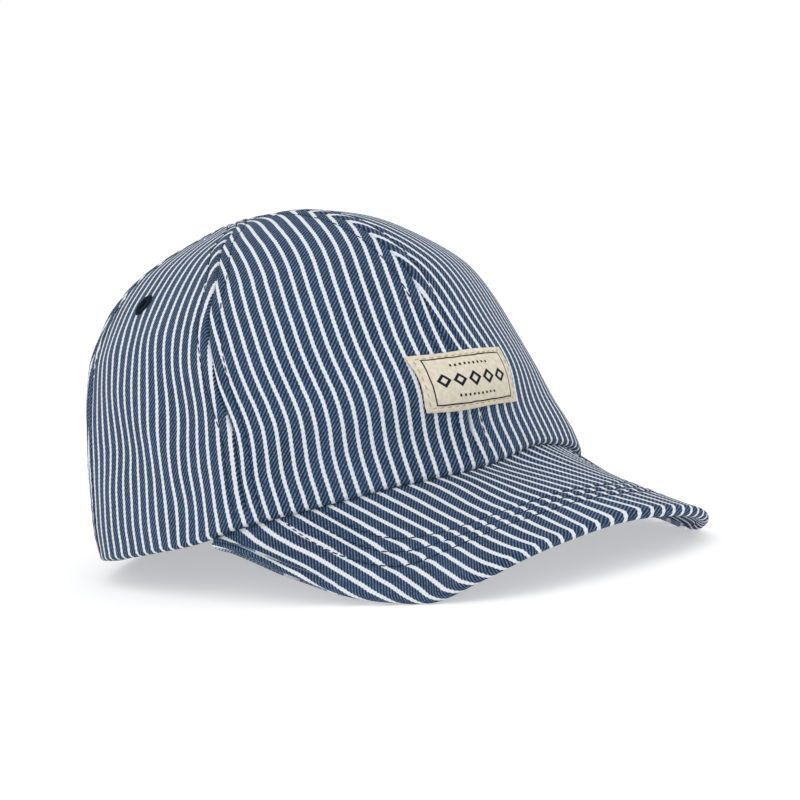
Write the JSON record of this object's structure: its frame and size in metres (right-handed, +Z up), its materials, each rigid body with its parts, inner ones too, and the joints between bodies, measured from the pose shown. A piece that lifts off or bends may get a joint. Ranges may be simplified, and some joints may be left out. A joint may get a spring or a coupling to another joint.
{
  "type": "child's cap",
  "caption": "Soft cotton cap of striped denim: rounded crown of sewn gores, curved peak, plain cloth label on the front seam.",
  "frame": {"origin": "on the surface that the cap stands on, under the middle of its box", "axes": "+Z up; the peak points along -Y; the wearer's left is +X"},
  "size_m": [0.1358, 0.2366, 0.1073],
  "materials": {
    "striped_denim": "indigo blue twill with narrow off-white warp stripes, matt",
    "label_cloth": "cream woven tape with a plain navy frame, matt",
    "navy_thread": "dark navy satin-stitched thread"
  },
  "bodies": {
    "root": {"panel_front_right": "striped_denim", "panel_side_right": "striped_denim", "panel_back_right": "striped_denim", "panel_front_left": "striped_denim", "panel_side_left": "striped_denim", "panel_back_left": "striped_denim", "eyelet_side_right": "navy_thread", "eyelet_side_left": "navy_thread", "peak_upper": "striped_denim", "peak_lower": "striped_denim", "label": "label_cloth"}
  },
  "joints": []
}
